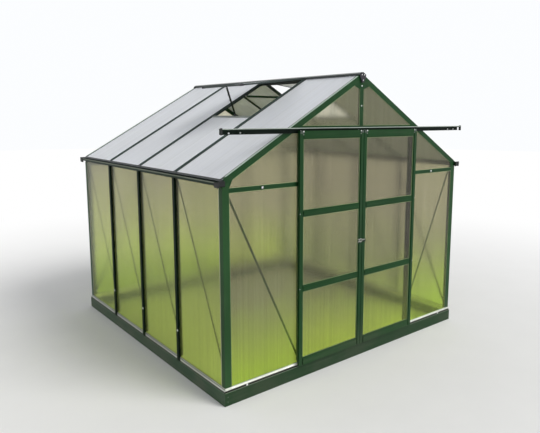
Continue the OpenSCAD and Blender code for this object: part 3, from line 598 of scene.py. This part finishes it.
one_flute = tone_of(tree, u, given["Rib Spacing"])
few_flutes = tone_of(tree, u, calc(tree, "MULTIPLY", given["Rib Spacing"], 3.0))
flute_tone = calc(tree, "MULTIPLY_ADD", few_flutes, 0.25, calc(tree, "MULTIPLY", one_flute, 0.75))
broad, fine = lanes(tree, u, v, 14.0, 0.25), lanes(tree, u, v, 90.0, 0.45)
cloud = noise(tree, place, 1.7, 3.0)
veil = calc(tree, "ADD", ramp(tree, broad, 0.3, 0.75, 0.0, 0.30), ramp(tree, fine, 0.35, 0.75, 0.0, 0.22))
veil = calc(tree, "ADD", veil, ramp(tree, cloud, 0.35, 0.75, 0.0, 0.25), clamp=True)
hazed = mix_colour(tree, veil, given["Color"], given["Haze"])
wavering = calc(tree, "MULTIPLY_ADD", cloud, 0.5, vertical(tree, place))
raised = calc(tree, "DIVIDE", wavering, given["Grass Tint Reach"])
# Low down the board turns to the Low Color: a painted green of grass seen through it
low = calc(tree, "MULTIPLY", ramp(tree, raised, 0.25, 1.0, 1.0, 0.0), given["Grass Tint Amount"])
grass_tinted = mix_colour(tree, low, hazed, given["Grass Tint Color"])
shade = calc(tree, "MULTIPLY", calc(tree, "MULTIPLY_ADD", rib, 0.5, flute_tone), given["Flute Contrast"])
feed(tree, result["Color"], mix_colour(tree, shade, grass_tinted, (0.10, 0.11, 0.08, 1)))
feed(tree, result["Roughness"], calc(tree, "MULTIPLY_ADD", veil, 0.10, given["Roughness"]))
feed(tree, result["Height"], calc(tree, "MULTIPLY_ADD", rib, 0.8, calc(tree, "MULTIPLY", one_flute, 0.15)))


def sheet(name, colour, haze, across, along=(0, 0, 1), transmission=0.93, roughness=0.18, ior=1.22,
          relief=0.2, contrast=0.13, low=(0.0, 1.5), grass_tint_colour=(0.5, 0.6, 0.3, 1)):
    """Twin-wall board: fluted across one direction, see-through but blurred. Low is the amount of
    painted green, for grass seen through it, at its foot and the height that the green reaches."""
    values = {"Color": colour, "Haze": haze, "Grass Tint Color": grass_tint_colour, "Grass Tint Amount": low[0],
              "Grass Tint Reach": low[1], "Flute Contrast": contrast, "Across": across, "Along": along,
              "Roughness": roughness}
    return surface(name, twin_wall, values, relief, 0.0004,
                   {"Transmission Weight": transmission, "IOR": ior, "Specular IOR Level": 0.35})


wall_colours = (0.58, 0.56, 0.42, 1), (0.68, 0.65, 0.52, 1)
finish_with(sheet("left_side_sheet", *wall_colours, (0, 1, 0), low=(0.94, 2.1),
                  grass_tint_colour=(0.86, 1.0, 0.30, 1)), "left_wall_panes")
finish_with(sheet("right_side_sheet", *wall_colours, (0, 1, 0), low=(0.70, 1.5),
                  grass_tint_colour=(0.64, 0.80, 0.28, 1)), "right_wall_panes")
finish_with(sheet("gable_sheet", *wall_colours, (1, 0, 0), low=(0.94, 1.2),
                  grass_tint_colour=(0.80, 1.0, 0.22, 1)), "front_panes", "back_panes")

# The seals round the gable and door panes are pale as a painted highlight along the pane edges
seal_painted_highlight = coated("seal_painted_highlight", (150, 172, 122), roughness=0.4, dustiness=0.2, grain=0.4,
                   dust_and_sky_highlight=(0.20, 0.28, 0.10, 1))
seal_wide, seal_tall, wall_seal_wide, seal_round = 0.0026, 0.0016, 0.0028, 0.0005
pane_out_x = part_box("right_wall_panes")[1][0] + seal_tall / 2
pane_out_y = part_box("back_panes")[1][1] + seal_tall / 2
lip_seal = box_section(seal_tall, seal_wide, seal_round)
half = seal_wide / 2


def seal_rings(corners, plane, axis):
    """Ends of the seals round each pane: from each corner (u, z) to the next, in the plane at a
    distance along X (axis 0) or Y (axis 1)."""
    corners = np.asarray(corners)
    return [across_plane(*points.reshape(-1, 2).T, plane, axis)
            for points in (corners, np.roll(corners, -1, axis=1))]


def oblong(u0, u1, z0, z1, inset=0.0):
    """Corners (u, z) of an oblong, inset from its four edges."""
    u0, u1, z0, z1 = u0 + inset, u1 - inset, z0 + inset, z1 - inset
    return [(u0, z0), (u1, z0), (u1, z1), (u0, z1)]


def gable_pane(u0, u1, z0):
    """Corners of the seal of a gable pane whose top follows the rafter."""
    u0, u1, z0, down = u0 + half, u1 - half, z0 + half, half / math.cos(pitch)
    return [(u0, z0), (u1, z0), (u1, under_rafter(u1) - down), (u0, under_rafter(u0) - down)]


corner_side, eave_z = 0.040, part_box("left_gutter")[0][2]
edges = between_bars.copy()
edges[0, 0], edges[-1, 1] = -frame_y + corner_side, frame_y - corner_side
wall_rings = [oblong(y0, y1, sill_top, eave_z, wall_seal_wide / 2) for y0, y1 in edges]
wall_seal = box_section(seal_tall, wall_seal_wide, seal_round)
both_sides = ("left", -1.0), ("right", 1.0)
for name, s in both_sides:
    strips(name + "_wall_seals", wall_seal, *seal_rings(wall_rings, s * pane_out_x, 0), (1, 0, 0), rubber)

rail_face, header_high = 0.030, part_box("door_header")[1][2]
jamb_out, jamb_in, middle = jamb_x + gable_face / 2, jamb_x - gable_face / 2, gable_face / 2
below_rail, above_rail = rail_z - rail_face / 2, rail_z + rail_face / 2
beside_jamb = [oblong(jamb_out, corner_in_x, sill_top, below_rail, half),
               gable_pane(jamb_out, corner_in_x, above_rail)]
front_rings = beside_jamb + [gable_pane(middle, jamb_in, header_high)]
back_rings = beside_jamb + [oblong(middle, jamb_in, sill_top, below_rail, half),
                            gable_pane(middle, jamb_in, above_rail)]
for (name, s), rings in zip(both_gables, (front_rings, back_rings)):
    rings = np.concatenate([rings, np.asarray(rings) * [-1, 1]])
    strips(name + "_seals", lip_seal, *seal_rings(rings, s * pane_out_y, 1), (0, 1, 0), seal_painted_highlight)

# A pale strip on the board beside each corner post is a painted highlight along the post's edge
corner_edge_highlight = coated("corner_edge_highlight", (188, 190, 158), roughness=0.3, grain=0.4,
                     dust_and_sky_highlight=(0.20, 0.28, 0.10, 1), gloss=0.45)
edge_wide = 0.0075
edging = box_section(0.0011, edge_wide, 0.0004)
corner_edge = edges[0, 0] + wall_seal_wide + edge_wide / 2
foot, head = (np.array([[corner_edge, z], [-corner_edge, z]]) for z in (sill_top + half, eave_z - half))
for name, s in both_sides:
    starts, ends = (across_plane(*end.T, s * (pane_out_x - 0.0002), 0) for end in (foot, head))
    strips(name + "_wall_edge_highlight", edging, starts, ends, (1, 0, 0), corner_edge_highlight)

# ---- Roof: ridge bar, roof bars, panes and moulded caps -----------------------------------------
# Paler board than the walls, blurred white, fluted down the slope; its bluish white is partly
# painted sky reflection. Each bar has a rib on top and a seal on each side; the ridge has a moulded
# cap at each end.
dark_plastic = coated("dark_plastic", (44, 42, 50), roughness=0.5, dustiness=0.12, grain=0.5)
finish_with(coated("roof_grey_green", (62, 78, 74), dustiness=0.12, gloss=0.25, run=runs_sloping),
            "left_roof_bars", "right_roof_bars")
finish_with(coated("vent_sill_grey", (118, 126, 120), dustiness=0.15, run=runs_back), "vent_sills")
# The ridge bar's upward faces are lighter: a painted sky highlight
finish_with(coated("ridge_grey", (58, 68, 66), dustiness=0.12, run=runs_back, sky_highlight=0.75,
                   dust_and_sky_highlight=srgb(150, 158, 150)), "ridge_bar")
finish_with(dark_plastic, "ridge_caps")
# The roof board's pale bluish colour is partly a painted reflection of the sky
roof_board = {"colour": (0.91, 0.935, 1.0, 1), "haze": (0.96, 0.98, 1.0, 1), "transmission": 0.24,
              "roughness": 0.3, "ior": 1.3, "relief": 0.5, "contrast": 0.15}
for side, s in both_sides:
    down_slope = (s * math.cos(pitch), 0, -math.sin(pitch))
    slope_sheet = sheet(side + "_roof_sheet", across=(0, 1, 0), along=down_slope, **roof_board)
    finish_with(slope_sheet, side + "_roof_panes")
finish_with(sheet("vent_sheet", across=(0, 1, 0), along=(1, 0, 0), **roof_board), "vent_panes")


def on_roof(s, q, y, n):
    """Points of the left (s = -1) or right (s = 1) slope: q down it from the ridge, y along it and n
    out of it; x = s (q cos p + n sin p), z = ridge - q sin p + n cos p."""
    q, y, n = np.broadcast_arrays(q, y, n)
    return np.stack([s * (q * math.cos(pitch) + n * math.sin(pitch)), y,
                     ridge_z - q * math.sin(pitch) + n * math.cos(pitch)], -1)


def down_roof(q0, q1, ys, n):
    """Ends of runs down both slopes, one at each y, from the distance q0 to q1 and at the height n."""
    return [np.vstack([on_roof(s, q, ys, n) for s in signs]) for q in (q0, q1)]


seal_top, pane_edge = 0.036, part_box("right_roof_panes")[1][0] / math.cos(pitch)
sill_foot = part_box("vent_sills")[1][0] / math.cos(pitch)
roof_face, rafter_depth = 0.038, 0.026
# The black seals beside each bar are wider than a real seal, so that they also paint the shade along the bar
roof_seal_wide, roof_seal_thick, roof_seal_n, clear_of_tape = 0.0074, 0.0020, -0.0016, 0.012
bar_side = (roof_face + roof_seal_wide) / 2
by_rafter = frame_y - rafter_depth - roof_seal_wide / 2
roof_seal_ys = np.concatenate([bar_ys - bar_side, bar_ys + bar_side, [-by_rafter, by_rafter]])
in_vent_bay = (roof_seal_ys > bar_ys[0]) & (roof_seal_ys < bar_ys[1])
seal_from = np.where(in_vent_bay, sill_foot, seal_top)
strips("roof_seals", box_section(roof_seal_wide, roof_seal_thick, seal_round),
       *down_roof(seal_from, pane_edge - clear_of_tape, roof_seal_ys, roof_seal_n), (0, 1, 0), rubber)

# A pale strip along the top of each gable rafter is a painted sky highlight on its flange
strip_y, strip_n, strip_top = frame_y - 0.0115, 0.0007, 0.048
rafter_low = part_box("front_rafters")[1][0] / math.cos(pitch) - 0.022
rafter_top_highlight = coated("rafter_top_highlight", (186, 206, 192), roughness=0.45, run=runs_sloping, gloss=0.4)
strips("rafter_top_highlight_strips", box_section(0.020, 0.0012, 0.0004),
       *down_roof(strip_top, rafter_low, strip_y * signs, strip_n), (0, 1, 0), rafter_top_highlight, "roof_frame")

# A hood of folded metal, pale on top where the light falls, covers the ridge between the caps
cap_y, cap_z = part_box("ridge_caps")[1][1:]
hood_top, hood_half, crown_half, hood_bend, hood_skin = cap_z - 0.0006, 0.028, 0.012, 0.010, 0.0014
hood_foot = float(roof_height(hood_half, -0.0029))
hood_outside = [(hood_half, hood_foot), (hood_half, hood_top - hood_bend), (crown_half, hood_top),
                (-crown_half, hood_top), (-hood_half, hood_top - hood_bend), (-hood_half, hood_foot)]
hood_inside = [(x - np.sign(x) * hood_skin, z - 0.0010 * (z > hood_foot)) for x, z in reversed(hood_outside)]
hood_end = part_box("ridge_bar")[1][1]
hood_grey = coated("hood_grey", (46, 52, 54), roughness=0.45, dustiness=0.12, run=runs_back,
                   sky_highlight=0.85, dust_and_sky_highlight=srgb(158, 162, 160))
strips("ridge_hood", hood_outside + hood_inside, [(0, hood_end, 0)], [(0, -hood_end, 0)], (1, 0, 0),
       hood_grey, "roof_frame")
cap_screw_x, cap_screw_down = [-0.014, 0.014, 0.0], np.array([0.012, 0.012, 0.052])
places = np.vstack([across_plane(cap_screw_x, ridge_z - cap_screw_down, s * cap_y, 1) for s in signs])
fasteners("ridge_cap_screws", places, np.repeat([[0, -1, 0], [0, 1, 0]], 3, axis=0),
          head_profile(0.0042, 0.0026))
tie, tie_bolt_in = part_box("collar_tie"), 0.020
gable_heads("tie_bolts", [tie[0][0] + tie_bolt_in, tie[1][0] - tie_bolt_in], (tie[0][2] + tie[1][2]) / 2,
            tie[0][1], head_profile(0.0055, 0.0035, washer=0.008))

# ---- Eaves: a gutter along each side, and tape on the roof panes' lower ends ----------------------
# The gutter is one extruded section with the eave rail; its outer wall is painted dark for shade,
# with dark dirt streaks. Black tape closes the flutes of the roof panes. A moulded end with a spout
# shuts each gutter.
gutter_black = coated("gutter_black", (24, 27, 28), roughness=0.5, dustiness=0.15, grain=0.5)
finish_with(coated("gutter_green_painted_shade", (24, 44, 30), roughness=0.5, dustiness=0.4, run=runs_back,
                   dust_and_sky_highlight=(0.06, 0.09, 0.04, 1), gloss=0.15), "left_gutter", "right_gutter")
finish_with(gutter_black, "gutter_ends")
eave_black = coated("eave_tape", (26, 34, 34), roughness=0.5, dustiness=0.2, grain=0.35, run=runs_back)
pane_top_n, pane_thick, tape_wide, tape_lap = -0.0026, 0.006, 0.022, 0.0015
tape_q, tape_n = pane_edge + tape_lap - tape_wide / 2, pane_top_n - pane_thick / 2
tape_y = frame_y - 0.0005
starts, ends = (np.vstack([on_roof(s, tape_q, t * tape_y, tape_n) for s in signs]) for t in signs)
tape_side = np.array([[s * math.cos(pitch), 0.0, -math.sin(pitch)] for s in signs])
strips("eave_tapes", box_section(tape_wide, 0.0078, 0.0012), starts, ends, tape_side, eave_black)

# The rolled lip along the top of the outer wall is a pale strip, a painted highlight; a black sleeve
# of each moulded end grips the wall
(gutter_x, _, gutter_z), (_, gutter_end_y, _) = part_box("left_gutter")
skin, gutter_tall, trough_lift = 0.0023, 0.022, 0.010
wall_x, lip_top = -gutter_x - skin, gutter_z + trough_lift + gutter_tall
lip_tall, sleeve_tall, sleeve_long = 0.0064, 0.034, 0.056
sleeve_y = gutter_end_y - sleeve_long
gutter_lip_highlight = coated("gutter_lip_painted_highlight", (126, 134, 116), roughness=0.5, dustiness=0.45, run=runs_back,
                  dust_and_sky_highlight=(0.12, 0.15, 0.08, 1))
lip_x, lip_z = wall_x + 0.0007, lip_top - skin - lip_tall / 2
starts, ends = ([(s * lip_x, t * sleeve_y, lip_z) for s in signs] for t in signs)
strips("gutter_lips", box_section(0.0018, lip_tall, 0.0005), starts, ends, (1, 0, 0), gutter_lip_highlight)
sleeve_x, sleeve_z = wall_x + 0.00115, gutter_z + 0.011
starts, ends = ([(s * sleeve_x, t * y, sleeve_z) for s in signs for t in signs]
                for y in (sleeve_y, gutter_end_y + 0.001))
strips("gutter_sleeves", box_section(0.0025, sleeve_tall, 0.0008), starts, ends, (1, 0, 0), gutter_black)

# ---- Roof vents: two framed flaps hinged under the ridge, propped open --------------------------
# Four mitred aluminium sections round a sheet of roof board, with black moulded corners. Each is
# held by a flat dark stay with peg holes, with a knob near the vent's sill.
# The vent frames' upward faces are lighter: a painted sky highlight
finish_with(coated("vent_grey", (52, 64, 62), dustiness=0.12, run=runs_sloping, sky_highlight=0.75,
                   dust_and_sky_highlight=srgb(150, 158, 150)), "left_vent_frame", "right_vent_frame")
finish_with(coated("stay_dark", (34, 44, 40), roughness=0.45, dustiness=0.1, grain=0.35, run=runs_sloping,
                   gloss=0.2), "vent_stays")
vent_angle, vent_hinge, bead, vent_long = math.radians(23), 0.0373, 0.0033, 0.642
(_, vent_y0, _), (_, vent_y1, _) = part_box("left_vent_frame")


def on_vent(s, u, y, w):
    """Points of an open vent: u out from its hinge, w up from its underside; it turns about the
    hinge, q = hinge + u cos o - w sin o and n = bead + u sin o + w cos o."""
    u, y, w = np.broadcast_arrays(u, y, w)
    return on_roof(s, vent_hinge + u * math.cos(vent_angle) - w * math.sin(vent_angle), y,
                   bead + u * math.sin(vent_angle) + w * math.cos(vent_angle))


corner_in, corner_half, corner_w = 0.011, 0.0122, 0.0068
corner_ys = np.array([vent_y0 + corner_in, vent_y1 - corner_in])
corner_u = vent_long - corner_in
starts, ends = (np.vstack([on_vent(s, corner_u, corner_ys + t * corner_half, corner_w) for s in signs])
                for t in signs)
vent_way = np.array([on_vent(s, 1.0, 0.0, 0.0) - on_vent(s, 0.0, 0.0, 0.0) for s in signs])
strips("vent_corners", box_section(0.024, 0.0165, 0.002), starts, ends, np.repeat(vent_way, 2, axis=0),
       dark_plastic)

# Stays: peg holes as dark washers on both faces, a pivot at the vent's rim and a knob by the sill
stay_low, stay_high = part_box("vent_stays")
edge, rim = np.array([0.5825, 1.9545]), np.array([stay_high[0] - 0.004, stay_high[2] - 0.006])
way = (rim - edge) / np.linalg.norm(rim - edge)
holes = edge + np.array([0.045, 0.090, 0.135, 0.180])[:, None] * way
pivot, knob = rim - 0.004 * way, (0.5667, 1.9627)
both_faces = [(s, y) for s in signs for y in (stay_low[1], stay_high[1])]
stay_faces = np.array([[0, -1, 0], [0, 1, 0]] * 2)
peg_hole = [[0.0034, 0.0], [0.0034, 0.0003], [0.0022, 0.0003], [0.0022, 0.0001]]
places = np.vstack([across_plane(s * holes[:, 0], holes[:, 1], y, 1) for s, y in both_faces])
fasteners("stay_peg_holes", places, np.repeat(stay_faces, len(holes), axis=0), peg_hole, sides=10,
          material=dark_plastic)
knob_profile = [[0.0042, 0.0], [0.0042, 0.003], [0.0085, 0.0035], [0.0090, 0.0050], [0.0090, 0.0095],
                [0.0075, 0.0115], [0.0030, 0.0120]]
gable_heads("stay_knobs", signs * knob[0], knob[1], stay_low[1], knob_profile, sides=16,
            material=dark_plastic)
fasteners("stay_pivots", [[s * pivot[0], y, pivot[1]] for s, y in both_faces], stay_faces,
          head_profile(0.0045, 0.0028))

# ---- Door track: one extruded section across the gable, over the doors --------------------------
# A plate with a ledge for the rollers and a hood over the doors. It is painted dark for the shade in
# its groove and lighter on top as a painted sky highlight, with a pale strip along the hood's front
# edge as a painted highlight, a black plate on each end, and a stop with a bolt for each door.
finish_with(coated("track_green_painted_shade", (15, 32, 23), roughness=0.5, dustiness=0.12, run=runs_across,
                   sky_highlight=0.7, dust_and_sky_highlight=srgb(130, 145, 135), gloss=0.12), "door_track")
(track_x0, track_y0, track_z0), (track_x1, _, track_z1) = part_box("door_track")
track_lip_highlight = coated("track_lip_highlight", (196, 206, 198), roughness=0.45, dustiness=0.2, run=runs_across)
starts, ends = ([(x, track_y0 + skin - 0.0005, track_z1 - 0.0020)] for x in (track_x0, track_x1))
strips("track_lip", box_section(0.0038, 0.0009, 0.0003), starts, ends, (0, 0, 1), track_lip_highlight, "frame")
end_plate = oblong(track_y0 + 0.0006, track_y0 + 0.0240, track_z0 - 0.0012, track_z1 + 0.0045)
for name, x in (("left_track_end", track_x0 - 0.0012), ("right_track_end", track_x1 + 0.0012)):
    plates(name, [end_plate], x, 0.0022, 0, gutter_black)
stop_y, stop_z, end_screw_x = -frame_y - 0.0026, track_z0 + 0.0100, 1.2212
gable_heads("track_screws", end_screw_x * signs, stop_z, stop_y, head_profile(0.0070, 0.0034))
door_travel, stop_radius, roller_gap = 0.495, 0.0100, 0.0015
stop_x = -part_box("left_door_rollers")[0][0] + door_travel + roller_gap + stop_radius
gable_heads("track_stop_bolts", stop_x * signs, stop_z + 0.0010, stop_y, head_profile(stop_radius, 0.0058),
            sides=6)
seat_x = stop_x + stop_radius + 0.0080
gable_heads("track_stop_seats", seat_x * signs, stop_z, stop_y,
            [[0.0115, 0.0], [0.0115, 0.0012], [0.0090, 0.0014]], sides=4, material=rubber, slot="moulding")

# ---- Doors: two sliding doors, each hung by two rollers from the track --------------------------
# Hollow stiles and rails round three panes. Grey hanger plates with a bright bolt hold the roller
# pins. A seal painted pale as an edge highlight lines each pane, green seals meet in the middle, and
# a bright hook and eye on two dark plates latch the doors.
door_green = coated("door_green", green, dustiness=0.08, gloss=0.14)
door_rail_green = coated("door_rail_green", (24, 64, 29), dustiness=0.08, gloss=0.14, run=runs_across)
meeting_green = coated("meeting_green", (16, 44, 24), roughness=0.6, dustiness=0.05, gloss=0.06)
hanger_grey = coated("hanger_grey", (72, 84, 76), roughness=0.5, dustiness=0.2)
guide_grey = coated("guide_grey", (140, 150, 140), roughness=0.5, dustiness=0.2)
latch_plate = coated("latch_plate", (26, 38, 30), roughness=0.5, dustiness=0.1, gloss=0.2)
latch_bright = coated("latch_bright", (214, 216, 208), roughness=0.35, dustiness=0.05, grain=0.3, metal=0.45,
                      gloss=0.5)
# The door board is darker than the wall board: a painted dark reflection
door_sheet_painted_dark = sheet("door_sheet_painted_dark", (0.49, 0.465, 0.37, 1), (0.57, 0.535, 0.45, 1), (1, 0, 0), contrast=0.14,
                   low=(0.95, 1.15), grass_tint_colour=(0.84, 1.0, 0.24, 1))
stile_wide, lip_wide, between_panes = 0.038, 0.009, 0.0326
pane_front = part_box("left_door_panes")[0][1]
inset = lip_wide - 0.0003
latch_low, latch_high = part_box("right_door_latch")
latch_z, latch_y = (latch_low[2] + latch_high[2]) / 2, latch_low[1]
# The arms of the hook as (x, z) from the doors' meeting line and the latch's height
arms = {"left": [[(-0.0505, 0.0190), (-0.0310, 0.0120)], [(-0.0530, -0.0060), (-0.0330, 0.0010)],
                 [(-0.0040, 0.0118), (-0.0016, 0.0104)]],
        "right": [[(0.0020, 0.0095), (0.0180, 0.0085)], [(0.0170, 0.0085), (0.0300, 0.0095)]]}
for side_name, s in both_sides:
    body = side_name + "_door"
    finish_with(door_green, body + "_stiles")
    finish_with(door_rail_green, body + "_rails")
    finish_with(door_sheet_painted_dark, body + "_panes")
    finish_with(zinc, body + "_rollers")
    (x0, front, z0), (x1, back, z1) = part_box(body + "_stiles")
    (_, _, pane_low), (_, _, pane_high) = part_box(body + "_panes")
    pane_tall = (pane_high - pane_low - 2 * between_panes) / 3
    pane_feet = pane_low + np.arange(3) * (pane_tall + between_panes)
    rings = [oblong(x0 + stile_wide, x1 - stile_wide, foot_z + inset, foot_z + pane_tall - inset, half)
             for foot_z in pane_feet]
    for face, y in (("front", pane_front - seal_tall / 2), ("back", pane_front + pane_thick + seal_tall / 2)):
        strips(f"{body}_{face}_seals", lip_seal, *seal_rings(rings, y, 1), (0, 1, 0), seal_painted_highlight, body=body)
    meeting, outer_edge = (x1, x0) if s < 0 else (x0, x1)
    starts, ends = ([(meeting - s * 0.00115, (front + back) / 2, z)] for z in (z0 + 0.004, z1 - 0.004))
    strips(body + "_meeting_seal", box_section(0.0021, 0.016, 0.0005), starts, ends, (1, 0, 0),
           meeting_green, body=body)

    # Hangers: a plate at each end of the top rail, its bolt on a small pale plate
    hanger_x, bolt_x = (np.array([x0 + edge_in, x1 - edge_in]) for edge_in in (0.0195, 0.0325))
    hangers_at = [oblong(x - 0.017, x + 0.017, z1 - 0.022, z1 - 0.001) for x in hanger_x]
    plates(body + "_hangers", hangers_at, front - 0.0009, 0.0014, 1, hanger_grey, body)
    gable_heads(body + "_hanger_bolts", bolt_x, z1 - 0.0065, front - 0.0016, head_profile(0.0052, 0.0028),
                body=body)
    guides_at = [oblong(x - 0.0050, x + 0.0050, z1 - 0.031, z1 - 0.026) for x in bolt_x]
    plates(body + "_hanger_guides", guides_at, front - 0.0007, 0.0012, 1, guide_grey, body)

    # Latch: a dark back plate, and on it the bright bent arms, with the eye on the left door
    (lx0, _, lz0), (lx1, _, lz1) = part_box(body + "_latch")
    back_plate = plates(body + "_latch_plate", [oblong(lx0, lx1, lz0, lz1)], front - 0.0012, 0.0020, 1,
                        latch_plate, body)
    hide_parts(body + "_latch")
    runs = np.array(arms[side_name]) + [0.0, latch_z]
    starts, ends = (across_plane(runs[:, i, 0], runs[:, i, 1], latch_y + 0.0022, 1) for i in (0, 1))
    strips(body + "_latch_arms", box_section(0.0034, 0.0040, 0.0010), starts, ends, (0, 1, 0), latch_bright,
           "zinc", body)
    screw_x = outer_edge - s * 0.0045
    gable_heads(body + "_stile_screws", [screw_x, screw_x], pane_feet[1:] - between_panes / 2, front,
                head_profile(0.0030, 0.0016), body=body)
eye_ring = [[0.0115, 0.0], [0.0145, 0.0], [0.0152, 0.0015], [0.0142, 0.0030], [0.0118, 0.0030],
            [0.0109, 0.0015], [0.0115, 0.0]]
eye_centre = (-0.0175, latch_y + 0.0034, latch_z + 0.0055)
points, faces = turned([eye_centre], (0, -1, 0), eye_ring, 24)
piece("left_door_latch_eye", points, faces[:-2], latch_bright, "left_door", smooth=True)

low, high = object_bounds()
